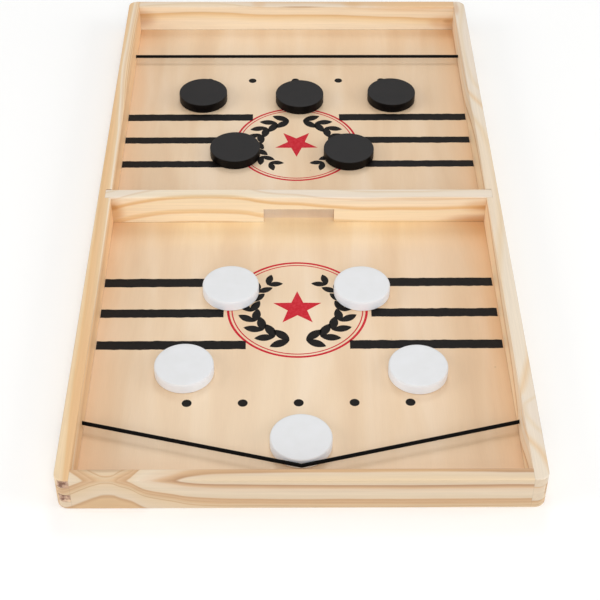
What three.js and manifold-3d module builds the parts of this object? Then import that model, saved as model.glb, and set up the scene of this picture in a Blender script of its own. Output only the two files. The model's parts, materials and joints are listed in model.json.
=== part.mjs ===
// Sling puck board game: a finger-jointed pine frame round a thin board, a gate bar across the
// middle, an elastic sling across each end and five pucks a side. The front sling is drawn back
// into a V round a white puck. Millimetres, +X right, +Y away from the near player, +Z up.
// The origin is on the table under the centre of the frame.

import * as THREE from "three";
import { mergeVertices } from "three/addons/utils/BufferGeometryUtils.js";
import Module from "manifold-3d";

const wasm = await Module();
wasm.setup();

// Frame
const frameWidth = 300;
const frameLength = 560;
const frameHeight = 26;
const railThickness = 9.5;
const cornerRadius = 7;
const edgeEasing = 0.8;
const fingersPerCorner = 4;

// Board
const boardThickness = 2.7;
const rebateDepth = 4.5;
const boardClearance = 0.3;

// Gate bar
const barThickness = 10;
const housingDepth = 4.5;
const housingClearance = 0.1;
const gateWidth = 53;
const gateHeight = 12;

// Slings: elastic cord through a hole in each side rail, with a stopper knot in a counterbore
const cordDiameter = 2.6;
const cordHeight = 5.8;
const cordSetback = 54;
const cordHoleDiameter = 3.2;
const counterboreDiameter = 9;
const counterboreDepth = 5.5;
const knotDiameter = 7.4;
const knotLength = 4.6;
const touchGap = 0.3;

// Pucks
const puckDiameter = 40;
const puckThickness = 8;
const puckEasing = 0.9;
const puckRunningGap = 0.2;

// How far the puck in the front sling is drawn back past the line between the sling's holes
const drawDistance = 14.3;

// Places of the other pucks: across, as shares of half the inner width, and away from the gate
// bar's centre line, as shares of half the inner length
const whitePlaceShares = [
  [-0.555, -0.612],
  [0.562, -0.617],
  [-0.349, -0.314],
  [0.316, -0.316],
];
const blackPlaceShares = [
  [-0.564, 0.585],
  [0.012, 0.577],
  [0.562, 0.587],
  [-0.359, 0.297],
  [0.288, 0.29],
];

// How finely the round stretches are divided
const cornerSteps = 8;
const easingSteps = 3;
const boreSteps = 24;
const puckSteps = 48;
const cordSteps = 8;
const knotRingShares = [
  [0, 0.62],
  [0.16, 0.9],
  [0.4, 1],
  [0.66, 0.96],
  [0.88, 0.7],
  [1, 0.36],
];

// How far a cutter runs past the face that it opens
const overrun = 4;

// Worked out from the sizes above
const halfWidth = frameWidth / 2;
const halfLength = frameLength / 2;
const innerHalfWidth = halfWidth - railThickness;
const innerHalfLength = halfLength - railThickness;
const rebateHalfWidth = innerHalfWidth + rebateDepth;
const rebateHalfLength = innerHalfLength + rebateDepth;
const fingerHeight = frameHeight / fingersPerCorner;
const boardTop = boardThickness;
const cordRadius = cordDiameter / 2;
const cordLevel = boardTop + cordHeight;
const puckRadius = puckDiameter / 2;
const slingY = innerHalfLength - cordSetback;

// The cord lies on a line from its hole that passes beside the rim of the drawn puck
const drawnPuckY = -slingY - drawDistance;
const reach = puckRadius + cordRadius + touchGap;
const puckFromHole = Math.hypot(drawDistance, innerHalfWidth);
const drawAngle = Math.atan2(drawDistance, innerHalfWidth) + Math.asin(reach / puckFromHole);
const drawnArmLength = innerHalfWidth / Math.cos(drawAngle);

// Finishes
const pine = new THREE.MeshStandardMaterial({ color: 0xe9cfa3, roughness: 0.62, metalness: 0 });
const plywood = new THREE.MeshStandardMaterial({ color: 0xe3bf94, roughness: 0.66, metalness: 0 });
const elastic = new THREE.MeshStandardMaterial({ color: 0x15130f, roughness: 0.8, metalness: 0 });
const whiteLacquer = new THREE.MeshStandardMaterial({ color: 0xe9ebed, roughness: 0.42, metalness: 0 });
const blackLacquer = new THREE.MeshStandardMaterial({ color: 0x2a2827, roughness: 0.42, metalness: 0 });

// Solids and geometries

function solidOf(geometry) {
  const bare = geometry.clone();
  bare.deleteAttribute("normal");
  bare.deleteAttribute("uv");
  const merged = mergeVertices(bare);
  return new wasm.Manifold(
    new wasm.Mesh({
      numProp: 3,
      vertProperties: new Float32Array(merged.attributes.position.array),
      triVerts: new Uint32Array(merged.index.array),
    }),
  );
}

function geometryOf(solid) {
  const mesh = solid.getMesh();
  const geometry = new THREE.BufferGeometry();
  geometry.setAttribute("position", new THREE.BufferAttribute(new Float32Array(mesh.vertProperties), 3));
  geometry.setIndex(new THREE.BufferAttribute(new Uint32Array(mesh.triVerts), 1));
  geometry.computeVertexNormals();
  return geometry;
}

function namedMesh(name, geometry, material) {
  const mesh = new THREE.Mesh(geometry, material);
  mesh.name = name;
  return mesh;
}

// A block between two opposite corners
function block(low, high) {
  const size = high.map((value, axis) => value - low[axis]);
  const geometry = new THREE.BoxGeometry(...size);
  geometry.translate(...high.map((value, axis) => (value + low[axis]) / 2));
  return solidOf(geometry);
}

// A closed solid through a stack of rings that all turn the same way and have as many points
function loft(rings) {
  const count = rings[0].length;
  const triangles = [];
  for (let level = 0; level + 1 < rings.length; level += 1) {
    for (let i = 0; i < count; i += 1) {
      const next = (i + 1) % count;
      const low = level * count;
      const high = low + count;
      triangles.push(low + i, low + next, high + next, low + i, high + next, high + i);
    }
  }
  const top = (rings.length - 1) * count;
  for (let i = 1; i + 1 < count; i += 1) {
    triangles.push(0, i + 1, i, top, top + i, top + i + 1);
  }
  const geometry = new THREE.BufferGeometry();
  geometry.setAttribute("position", new THREE.Float32BufferAttribute(rings.flat(2), 3));
  geometry.setIndex(triangles);
  return solidOf(geometry);
}

// A level rectangle whose corners are rounded, as a ring of points
function roundedRing(halfX, halfY, radius, z) {
  const ring = [];
  const corners = [
    [halfX - radius, halfY - radius],
    [radius - halfX, halfY - radius],
    [radius - halfX, radius - halfY],
    [halfX - radius, radius - halfY],
  ];
  corners.forEach(([x, y], corner) => {
    for (let step = 0; step <= cornerSteps; step += 1) {
      const angle = ((corner + step / cornerSteps) * Math.PI) / 2;
      ring.push([x + radius * Math.cos(angle), y + radius * Math.sin(angle), z]);
    }
  });
  return ring;
}

function squareRing(halfX, halfY, z) {
  return [
    [halfX, halfY, z],
    [-halfX, halfY, z],
    [-halfX, -halfY, z],
    [halfX, -halfY, z],
  ];
}

// The quarter round of an eased edge: how far in, and how far short of the corner
function easingArc() {
  const arc = [];
  for (let step = 0; step <= easingSteps; step += 1) {
    const angle = ((step / easingSteps) * Math.PI) / 2;
    arc.push([edgeEasing * (1 - Math.cos(angle)), edgeEasing * (1 - Math.sin(angle))]);
  }
  return arc;
}

// A bore along X from one place across the frame to another
function boreAcross(radius, fromX, toX, y) {
  const geometry = new THREE.CylinderGeometry(radius, radius, Math.abs(toX - fromX), boreSteps);
  geometry.rotateZ(Math.PI / 2);
  geometry.translate((fromX + toX) / 2, y, cordLevel);
  return solidOf(geometry);
}

// Frame

function outlineRing(inset, z) {
  return roundedRing(halfWidth - inset, halfLength - inset, cornerRadius - inset, z);
}

function openingRing(flare, z) {
  return squareRing(innerHalfWidth + flare, innerHalfLength + flare, z);
}

// The four rails as one ring: eased outside at the foot and the top, and inside at the top, with
// the board's rebate round the foot
function frameRing() {
  const outer = [];
  for (const [inset, fall] of easingArc().reverse()) {
    outer.push(outlineRing(inset, fall));
  }
  for (const [inset, fall] of easingArc()) {
    outer.push(outlineRing(inset, frameHeight - fall));
  }
  const opening = [openingRing(0, -overrun)];
  for (const [flare, fall] of easingArc()) {
    opening.push(openingRing(flare, frameHeight - fall));
  }
  opening.push(openingRing(edgeEasing, frameHeight + overrun));
  const rebate = block(
    [-rebateHalfWidth, -rebateHalfLength, -overrun],
    [rebateHalfWidth, rebateHalfLength, boardTop],
  );
  return loft(outer).subtract(loft(opening)).subtract(rebate);
}

// The space of one end rail: between the side rails, and at each corner its own fingers, which
// alternate with those of the side rail, whose top finger shows on top
function endRailSpace(side) {
  const outerY = side * (halfLength + overrun);
  const innerY = side * innerHalfLength;
  const lowY = Math.min(outerY, innerY);
  const highY = Math.max(outerY, innerY);
  let space = block([-innerHalfWidth, lowY, -overrun], [innerHalfWidth, highY, frameHeight + overrun]);
  for (let finger = 0; finger < fingersPerCorner; finger += 2) {
    const low = finger * fingerHeight;
    const bottom = finger === 0 ? -overrun : low;
    const reachX = halfWidth + overrun;
    space = space.add(block([-reachX, lowY, bottom], [reachX, highY, low + fingerHeight]));
  }
  return space;
}

function endRail(side) {
  return frameRing().intersect(endRailSpace(side));
}

function sideRail(side) {
  const outerX = side * (halfWidth + overrun);
  const low = [Math.min(0, outerX), -halfLength - overrun, -overrun];
  const high = [Math.max(0, outerX), halfLength + overrun, frameHeight + overrun];
  let rail = frameRing().intersect(block(low, high));
  rail = rail.subtract(endRailSpace(-1)).subtract(endRailSpace(1));
  const housingX = side * (innerHalfWidth + housingDepth);
  const housingHalf = barThickness / 2 + housingClearance;
  rail = rail.subtract(
    block(
      [Math.min(0, housingX), -housingHalf, -overrun],
      [Math.max(0, housingX), housingHalf, frameHeight + overrun],
    ),
  );
  for (const y of [-slingY, slingY]) {
    rail = rail.subtract(boreAcross(cordHoleDiameter / 2, 0, outerX, y));
    rail = rail.subtract(
      boreAcross(counterboreDiameter / 2, side * (halfWidth - counterboreDepth), outerX, y),
    );
  }
  return rail;
}

function playBoard() {
  return block(
    [boardClearance - rebateHalfWidth, boardClearance - rebateHalfLength, 0],
    [rebateHalfWidth - boardClearance, rebateHalfLength - boardClearance, boardTop],
  );
}

// The gate bar stands on the board, with its top edges eased and the gate open to the board
function gateBar() {
  const halfThickness = barThickness / 2;
  const halfSpan = innerHalfWidth + housingDepth - housingClearance;
  const rings = [squareRing(halfSpan, halfThickness, boardTop)];
  for (const [inset, fall] of easingArc()) {
    rings.push(squareRing(halfSpan, halfThickness - inset, frameHeight - fall));
  }
  const gate = block(
    [-gateWidth / 2, -halfThickness - overrun, boardTop - overrun],
    [gateWidth / 2, halfThickness + overrun, boardTop + gateHeight],
  );
  return loft(rings).subtract(gate);
}

// Slings

// One arm of a sling, from its hole to the middle of the frame, turned back by an angle
function slingArm(side, y, angle, armLength) {
  const geometry = new THREE.CylinderGeometry(cordRadius, cordRadius, armLength + overrun, cordSteps);
  geometry.rotateZ(Math.PI / 2);
  geometry.translate(touchGap + (armLength + overrun) / 2, 0, 0);
  geometry.rotateZ(-angle);
  if (side > 0) geometry.rotateY(Math.PI);
  geometry.translate(side * innerHalfWidth, y, cordLevel);
  const middleX = (side * touchGap) / 2;
  const outerX = side * halfWidth;
  const half = block(
    [Math.min(middleX, outerX), -halfLength, 0],
    [Math.max(middleX, outerX), halfLength, frameHeight],
  );
  return solidOf(geometry).intersect(half);
}

// The end of a sling: the cord in its hole, the stopper knot and the cut tail
function slingEnd(side, y) {
  const seat = railThickness - counterboreDepth;
  const tail = counterboreDepth - knotLength;
  const profile = [
    new THREE.Vector2(0, 0),
    new THREE.Vector2(cordRadius, 0),
    new THREE.Vector2(cordRadius, seat),
  ];
  for (const [along, wide] of knotRingShares) {
    profile.push(new THREE.Vector2((wide * knotDiameter) / 2, seat + along * knotLength));
  }
  profile.push(new THREE.Vector2(cordRadius, seat + knotLength));
  profile.push(new THREE.Vector2(cordRadius, seat + knotLength + tail / 2));
  profile.push(new THREE.Vector2(0, seat + knotLength + tail / 2));
  const geometry = new THREE.LatheGeometry(profile, cordSteps * 2);
  geometry.rotateZ(-side * (Math.PI / 2));
  geometry.translate(side * innerHalfWidth, y, cordLevel);
  return solidOf(geometry);
}

// Pucks

function puck() {
  const profile = [new THREE.Vector2(0, 0)];
  const rim = puckRadius - puckEasing;
  for (const [start, middleZ] of [
    [-Math.PI / 2, puckEasing],
    [0, puckThickness - puckEasing],
  ]) {
    for (const share of [0, 1 / 2, 1]) {
      const angle = start + (share * Math.PI) / 2;
      profile.push(
        new THREE.Vector2(rim + puckEasing * Math.cos(angle), middleZ + puckEasing * Math.sin(angle)),
      );
    }
  }
  profile.push(new THREE.Vector2(0, puckThickness));
  const geometry = new THREE.LatheGeometry(profile, puckSteps);
  geometry.rotateX(Math.PI / 2);
  return geometryOf(solidOf(geometry));
}

function placePuck(name, x, y, material) {
  const mesh = namedMesh(name, puck(), material);
  mesh.position.set(x, y, boardTop + puckRunningGap);
  return mesh;
}

// The whole game

const game = new THREE.Group();

game.add(namedMesh("left_rail", geometryOf(sideRail(-1)), pine));
game.add(namedMesh("right_rail", geometryOf(sideRail(1)), pine));
game.add(namedMesh("front_rail", geometryOf(endRail(-1)), pine));
game.add(namedMesh("back_rail", geometryOf(endRail(1)), pine));
game.add(namedMesh("play_board", geometryOf(playBoard()), plywood));
game.add(namedMesh("gate_bar", geometryOf(gateBar()), pine));

for (const [sideName, side] of [
  ["left", -1],
  ["right", 1],
]) {
  const drawnArm = slingArm(side, -slingY, drawAngle, drawnArmLength);
  const straightArm = slingArm(side, slingY, 0, innerHalfWidth);
  game.add(namedMesh(`front_sling_${sideName}`, geometryOf(drawnArm), elastic));
  game.add(namedMesh(`back_sling_${sideName}`, geometryOf(straightArm), elastic));
  game.add(namedMesh(`front_sling_knot_${sideName}`, geometryOf(slingEnd(side, -slingY)), elastic));
  game.add(namedMesh(`back_sling_knot_${sideName}`, geometryOf(slingEnd(side, slingY)), elastic));
}

whitePlaceShares.forEach(([across, away], i) => {
  game.add(placePuck(`white_puck_${i + 1}`, across * innerHalfWidth, away * innerHalfLength, whiteLacquer));
});
game.add(placePuck(`white_puck_${whitePlaceShares.length + 1}`, 0, drawnPuckY, whiteLacquer));
blackPlaceShares.forEach(([across, away], i) => {
  game.add(placePuck(`black_puck_${i + 1}`, across * innerHalfWidth, away * innerHalfLength, blackLacquer));
});

export default game;
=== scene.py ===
import json
import math

import bpy
import numpy as np
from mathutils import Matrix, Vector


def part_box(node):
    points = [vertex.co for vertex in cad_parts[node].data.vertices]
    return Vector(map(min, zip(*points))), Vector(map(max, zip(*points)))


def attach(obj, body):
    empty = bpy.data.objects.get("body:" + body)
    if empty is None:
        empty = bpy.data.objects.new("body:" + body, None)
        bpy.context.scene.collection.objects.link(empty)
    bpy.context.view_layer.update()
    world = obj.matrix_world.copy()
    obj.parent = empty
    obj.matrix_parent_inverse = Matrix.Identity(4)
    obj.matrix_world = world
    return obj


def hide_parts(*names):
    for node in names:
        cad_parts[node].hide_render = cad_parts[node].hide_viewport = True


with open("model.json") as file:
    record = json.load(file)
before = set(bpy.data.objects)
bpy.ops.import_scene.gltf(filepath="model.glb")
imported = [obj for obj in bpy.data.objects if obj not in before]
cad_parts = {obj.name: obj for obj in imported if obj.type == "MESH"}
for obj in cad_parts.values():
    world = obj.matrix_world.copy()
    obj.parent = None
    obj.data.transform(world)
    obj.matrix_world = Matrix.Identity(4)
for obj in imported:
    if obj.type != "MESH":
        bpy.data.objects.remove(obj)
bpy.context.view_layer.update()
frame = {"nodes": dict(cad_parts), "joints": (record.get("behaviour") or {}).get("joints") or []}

MM = 0.001
scene = bpy.context.scene

# The photograph's view, solved from the corners of the tray: 600 by 600 pixels, no shift
PICTURE_PIXELS = 600
FOCAL_PIXELS = 1390.07
CAMERA_PLACE = (-0.00758, -0.824649, 0.668252)
CAMERA_TURN = (0.832551, -0.003857, -0.007216)

lens = bpy.data.cameras.new("camera")
lens.sensor_fit = "HORIZONTAL"
lens.angle = 2 * math.atan(PICTURE_PIXELS / 2 / FOCAL_PIXELS)
camera = bpy.data.objects.new("camera", lens)
camera.location = CAMERA_PLACE
camera.rotation_euler = CAMERA_TURN
scene.collection.objects.link(camera)
scene.camera = camera
scene.view_settings.view_transform = "Standard"

# Sizes read from the frame, in metres
board_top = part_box("play_board")[1].z
frame_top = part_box("left_rail")[1].z
half_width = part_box("right_rail")[1].x
half_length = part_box("back_rail")[1].y
inner_half_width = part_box("right_rail")[0].x
inner_half_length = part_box("back_rail")[0].y
bar_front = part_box("gate_bar")[0].y
joints = {joint["name"]: joint for joint in frame["joints"]}

# Each corner is box-jointed with four pins of one height
CORNER_PINS = 4
pin_height = frame_top / CORNER_PINS


# Meshes

def mesh_piece(name, points, faces, body, material, smooth=True, uv=None):
    """A piece made of points (metres) and faces, in one material, that rides on a body of the
    frame. uv has a place for each point."""
    mesh = bpy.data.meshes.new(name)
    mesh.from_pydata(points.reshape(-1, 3).tolist(), [], faces)
    mesh.update()
    mesh.polygons.foreach_set("use_smooth", np.full(len(mesh.polygons), smooth))
    if uv is not None:
        corners = np.empty(len(mesh.loops), np.int32)
        mesh.loops.foreach_get("vertex_index", corners)
        layer = mesh.uv_layers.new(name="UVMap")
        layer.data.foreach_set("uv", uv.reshape(-1, 2)[corners].astype(np.float32).ravel())
    piece = bpy.data.objects.new(name, mesh)
    scene.collection.objects.link(piece)
    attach(piece, body)
    mesh.materials.append(material)
    return piece


def ring_faces(rings, sides, first=0):
    """Quads between rings of as many points each, closed round each ring, facing outwards when
    the rings run along the axis and turn to the right about it."""
    ring, side = np.meshgrid(np.arange(rings - 1), np.arange(sides), indexing="ij")
    low = first + ring * sides + side
    next_low = first + ring * sides + (side + 1) % sides
    return np.stack([low, next_low, next_low + sides, low + sides], axis=-1).reshape(-1, 4)


# Upwards with a slight lean, so that a path that sets out upright has a level direction too
NEARLY_UP = (0.0, 0.13, 1.0)


def carried_frames(path):
    """The path's direction at each point and two directions square to it. The second starts
    almost level, and is carried on by taking out of it, point by point, its part along the path.
    The third is the cross product of the other two."""
    along = np.gradient(path, axis=0)
    along /= np.linalg.norm(along, axis=1, keepdims=True)
    across = [np.cross(along[0], NEARLY_UP)]
    for direction in along[1:]:
        across.append(across[-1] - direction * np.dot(across[-1], direction))
        across[-1] = across[-1] / np.linalg.norm(across[-1])
    across = np.array(across)
    across[0] /= np.linalg.norm(across[0])
    return along, across, np.cross(along, across)


# A rounded end closes with a face this share of its radius
POLE_SHARE = 0.02


def tube(path, radius, sides=20, cap_rings=6):
    """A closed round tube along the path, with a half ball at each end: each ring is the path's
    point plus radius times cos and sin of the angle along the two carried directions. Its UVs
    run once round and along by length over girth, so that a woven pattern keeps its scale."""
    along, across, up = carried_frames(path)
    cap = np.linspace(0, math.pi / 2, cap_rings + 1)[:-1]
    start = path[0] - along[0] * radius * np.cos(cap)[:, None]
    end = path[-1] + along[-1] * radius * np.cos(cap[::-1])[:, None]
    line = np.concatenate([start, path, end])
    widths = np.concatenate([np.sin(cap), np.ones(len(path)), np.sin(cap[::-1])]) * radius
    widths[[0, -1]] = radius * POLE_SHARE
    spread = np.concatenate([[0] * cap_rings, np.arange(len(path)), [len(path) - 1] * cap_rings])
    angle = np.linspace(0, 2 * math.pi, sides, endpoint=False)
    sideways = across[spread][:, None] * np.cos(angle)[:, None]
    upwards = up[spread][:, None] * np.sin(angle)[:, None]
    points = line[:, None] + (sideways + upwards) * widths[:, None, None]
    rings = len(line)
    faces = ring_faces(rings, sides).tolist()
    faces.append(list(range(sides))[::-1])
    faces.append(list(range((rings - 1) * sides, rings * sides)))
    run = np.concatenate([[0], np.cumsum(np.linalg.norm(np.diff(line, axis=0), axis=1))])
    uv = np.empty((rings, sides, 2))
    uv[..., 0] = angle / (2 * math.pi)
    uv[..., 1] = (run / (2 * math.pi * radius))[:, None]
    return points, faces, uv


# Slings: round elastic in a woven sleeve

CORD_DIAMETER = 2.6 * MM
CORD_STEP = 4 * MM
# A left arm is thinner by this, so that no two faces coincide where the arms of a sling overlap
OVERLAP_STEP = 0.01 * MM


def straight_path(start, end):
    """Points about a cord step apart on a straight line: the start times one less the share of
    the way, plus the end times that share."""
    steps = max(2, int(math.dist(start, end) / CORD_STEP))
    share = np.linspace(0, 1, steps + 1)[:, None]
    return np.array(start) * (1 - share) + np.array(end) * share


def sling_arm(end_name, side_name, material):
    """One arm of a sling, a straight tube from the middle of its hole's mouth to where the two
    arms meet when drawn: half the inner width over the cosine of its full swing. A front arm is
    drawn by that swing at rest. A back arm lies straight across and reaches past the middle, so
    that the two still meet when they are drawn."""
    node = f"{end_name}_sling_{side_name}"
    joint = joints[f"{node}_swing"]
    hole = np.array(joint["pos_m"])
    swing = math.radians(max(joint["range_deg"], key=abs))
    length = abs(hole[0]) / math.cos(swing)
    heading = -abs(swing) if end_name == "front" else 0.0
    inward = -math.copysign(1, hole[0])
    tip = hole + length * np.array([inward * math.cos(heading), math.sin(heading), 0.0])
    path = straight_path(hole, tip)
    radius = CORD_DIAMETER / 2 - (OVERLAP_STEP if side_name == "left" else 0)
    points, faces, uv = tube(path, radius)
    name = f"{end_name}_sling_cord_{side_name}"
    piece = mesh_piece(name, points, faces, node, material, uv=uv)
    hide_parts(node)


# The cord of a knot that is pulled tight is a little thinner
KNOT_CORD_RADIUS = CORD_DIAMETER / 2 * 0.92
KNOT_RADIUS = 4.1 * MM
KNOT_DEPTH = 3.2 * MM
COUNTERBORE_DEPTH = 5.5 * MM
# The share of the knot's closed curve where the cord comes in and where its cut tail ends
KNOT_START, KNOT_END = 0.12, 0.93
KNOT_POINTS = 90
# A knot that is pulled tight is a little flatter than its free curve
KNOT_FLATNESS = 0.95
# The straight cord in the hole: its points, and the share of the way to the knot's seat
LEAD_POINTS = 6
LEAD_SHARE = 0.8


def stopper_knot(end_name, side_name, material):
    """The end of a sling: a tube through its hole, once round an overhand knot in the
    counterbore, and on to the cut tail. The knot is a trefoil: its radius is two plus the cosine
    of three times the turn, its depth goes with the sine of three times the turn, and its angle
    about the hole's axis is twice the turn. The corner between hole and knot is smoothed."""
    node = f"{end_name}_sling_knot_{side_name}"
    hole = np.array(joints[f"{end_name}_sling_{side_name}_swing"]["pos_m"])
    outward = math.copysign(1, hole[0])
    seat = half_width - inner_half_width - COUNTERBORE_DEPTH
    radius = KNOT_CORD_RADIUS
    turn = np.linspace(KNOT_START, KNOT_END, KNOT_POINTS) * 2 * math.pi
    middle = (KNOT_RADIUS - radius) / 3
    reach = middle * (2 + np.cos(3 * turn))
    deep = seat + radius + KNOT_DEPTH / 2 * (1 - np.sin(3 * turn) * KNOT_FLATNESS)
    knot = np.stack([deep, reach * np.cos(2 * turn), reach * np.sin(2 * turn)], axis=1)
    lead = np.zeros((LEAD_POINTS, 3))
    lead[:, 0] = np.linspace(0, seat * LEAD_SHARE, LEAD_POINTS)
    route = np.concatenate([lead, knot])
    for _ in range(3):
        route[1:-1] = (route[:-2] + 2 * route[1:-1] + route[2:]) / 4
    route = route * np.array([outward, 1, 1]) + hole
    points, faces, uv = tube(route, radius, sides=14)
    name = f"{end_name}_sling_stopper_{side_name}"
    piece = mesh_piece(name, points, faces, "tray", material, uv=uv)
    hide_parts(node)


# Materials

def linear(code):
    """An sRGB hex colour as linear red, green, blue and alpha: a dark part over 12.92, any other
    plus 0.055, over 1.055, to the power 2.4."""
    parts = [int(code[i:i + 2], 16) / 255 for i in (1, 3, 5)]
    return [p / 12.92 if p <= 0.04045 else ((p + 0.055) / 1.055) ** 2.4 for p in parts] + [1.0]


def add(tree, kind, inputs=None, stops=None, curve=None, **settings):
    """Adds a shader node with its settings. Each input is a value, a socket to link, or a node
    whose first output is linked. stops are a colour ramp's places and colours, and curve is a
    float curve's points."""
    made = tree.nodes.new("ShaderNode" + kind)
    for name, value in settings.items():
        setattr(made, name, value)
    for key, value in (inputs or {}).items():
        if isinstance(value, bpy.types.Node):
            value = value.outputs[0]
        if isinstance(value, bpy.types.NodeSocket):
            tree.links.new(value, made.inputs[key])
        else:
            made.inputs[key].default_value = value
    if stops:
        elements = made.color_ramp.elements
        while len(elements) < len(stops):
            elements.new(1.0)
        for element, (place, colour) in zip(elements, stops):
            element.position = place
            element.color = colour
    if curve:
        points = made.mapping.curves[0].points
        points[0].location, points[1].location = curve[0], curve[-1]
        for point in curve[1:-1]:
            points.new(*point)
        made.mapping.update()
    return made


def new_material(name):
    """An empty material with its shader and its Object coordinates."""
    material = bpy.data.materials.new(name)
    material.use_nodes = True
    tree = material.node_tree
    tree.nodes.clear()
    shader = add(tree, "BsdfPrincipled")
    add(tree, "OutputMaterial", {"Surface": shader})
    return material, tree, shader, add(tree, "TexCoord")


# The lowest and the highest rise of a grain line
GRAIN_LOW, GRAIN_HIGH = -12 * MM, 24 * MM
# A slow waver, 1.8 mm from trough to crest, so 0.9 mm on its mean
WAVER_HEIGHT = 1.8 * MM
WAVER_MEAN = 0.9 * MM


def pine(
    name, along, origin, slopes, grain_line, figure, stains_and_shade, outward, inner_painted_gain, end_tones, seed
):
    """Scots pine, planed and sealed: pale spring wood that darkens to a tan line once a year.
    The figure gives the tone at each height in mm: slopes times the place from the origin, less
    the rise of the grain line at that place along the piece, plus a slow waver. Fine fibres run
    along the grain. A face towards outward is darker by a painted shade, and a face away from it
    is lighter by painted light, a share at each of two places in mm. Sawn end grain mottles
    between its two end tones. along is the grain's axis, 0 for X and 1 for Y, and grain_line has
    the rise in mm at places in mm. The marks are soft stains of resin, of sealer or of a knot's
    edge, and some are painted shade in corners where two pieces meet: each a place and half sizes
    in mm, a tone, and its share at the middle."""
    material, tree, shader, place = new_material(name)
    here = place.outputs["Object"]
    split = add(tree, "SeparateXYZ", {0: here})
    from_origin = add(
        tree, "VectorMath", {0: here, 1: [axis * MM for axis in origin]}, operation="SUBTRACT"
    )
    flat = add(tree, "VectorMath", {0: from_origin, 1: slopes}, operation="DOT_PRODUCT")
    share = add(
        tree,
        "MapRange",
        {"Value": split.outputs[along], "From Min": -half_length, "From Max": half_length},
    )
    line = [
        (
            (x * MM + half_length) / (2 * half_length),
            (rise * MM - GRAIN_LOW) / (GRAIN_HIGH - GRAIN_LOW),
        )
        for x, rise in grain_line
    ]
    rise = add(tree, "FloatCurve", {"Value": share}, curve=line)
    lift = add(tree, "MapRange", {"Value": rise, "To Min": GRAIN_LOW, "To Max": GRAIN_HIGH})
    height = add(tree, "Math", {0: flat.outputs["Value"], 1: lift}, operation="SUBTRACT")
    # The waver is about 55 mm long and 12 mm across
    stretch = [1 / (12 * MM)] * 3
    stretch[along] = 1 / (55 * MM)
    slow = add(
        tree, "Mapping", {"Vector": here, "Location": (seed, seed * 0.7, 0), "Scale": stretch}
    )
    waver = add(tree, "TexNoise", {"Vector": slow, "Scale": 1.0, "Detail": 2.0, "Roughness": 0.5})
    wavered = add(tree, "Math", {0: waver, 1: WAVER_HEIGHT, 2: height}, operation="MULTIPLY_ADD")
    low, high = figure[0][0], figure[-1][0]
    level = add(
        tree,
        "MapRange",
        {"Value": wavered, "From Min": low * MM + WAVER_MEAN, "From Max": high * MM + WAVER_MEAN},
    )
    ramp = add(
        tree,
        "ValToRGB",
        {0: level},
        stops=[((mm - low) / (high - low), linear(tone)) for mm, tone in figure],
    )
    # Streaks are 1.5 mm across and 90 mm long; fibres are 0.4 mm across and 25 mm long
    stretch = [1 / (1.5 * MM)] * 3
    stretch[along] = 1 / (90 * MM)
    drawn = add(tree, "Mapping", {"Vector": here, "Location": (0, 0, seed), "Scale": stretch})
    streaks = add(tree, "TexNoise", {"Vector": drawn, "Scale": 1.0, "Detail": 2.0})
    stretch = [1 / (0.4 * MM)] * 3
    stretch[along] = 1 / (25 * MM)
    fine = add(tree, "Mapping", {"Vector": here, "Location": (seed, 0, seed), "Scale": stretch})
    fibres = add(tree, "TexNoise", {"Vector": fine, "Scale": 1.0, "Detail": 3.0, "Roughness": 0.6})
    both = add(tree, "Math", {0: streaks, 1: fibres})
    shade = add(
        tree,
        "MapRange",
        {"Value": both, "From Min": 0.7, "From Max": 1.3, "To Min": 0.935, "To Max": 1.05},
    )
    outer = add(
        tree, "VectorMath", {0: place.outputs["Normal"], 1: outward}, operation="DOT_PRODUCT"
    )
    # Painted shade: a face towards outward is darkened, down to 0.78 of its tone
    outward_painted_shade = add(
        tree,
        "MapRange",
        {
            "Value": outer.outputs["Value"],
            "From Min": 0.3,
            "From Max": 0.9,
            "To Min": 1.0,
            "To Max": 0.78,
        },
    )
    shade = add(tree, "Math", {0: shade, 1: outward_painted_shade}, operation="MULTIPLY")
    # Painted light: a face away from outward is lightened by a gain that changes along the piece
    inner = add(
        tree, "MapRange", {"Value": outer.outputs["Value"], "From Min": -0.3, "From Max": -0.9}
    )
    (first_place, first_gain), (last_place, last_gain) = inner_painted_gain
    gain = add(
        tree,
        "MapRange",
        {
            "Value": split.outputs[along],
            "From Min": first_place * MM,
            "From Max": last_place * MM,
            "To Min": first_gain,
            "To Max": last_gain,
        },
    )
    inner_painted_light = add(tree, "Math", {0: inner, 1: gain, 2: 1.0}, operation="MULTIPLY_ADD")
    shade = add(tree, "Math", {0: shade, 1: inner_painted_light}, operation="MULTIPLY")
    toned = add(tree, "VectorMath", {0: ramp, "Scale": shade}, operation="SCALE")
    # End grain shows where the surface faces along the grain, ragged by pores of about 1 mm
    facing = add(tree, "SeparateXYZ", {0: place.outputs["Normal"]})
    turned = add(tree, "Math", {0: facing.outputs[along]}, operation="ABSOLUTE")
    pores = add(
        tree, "TexNoise", {"Vector": here, "Scale": 1 / (1.1 * MM), "Detail": 3.0, "Roughness": 0.7}
    )
    ragged = add(tree, "Math", {0: pores, 1: 0.3, 2: turned}, operation="MULTIPLY_ADD")
    end_mask = add(tree, "MapRange", {"Value": ragged, "From Min": 0.8, "From Max": 0.9})
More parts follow.
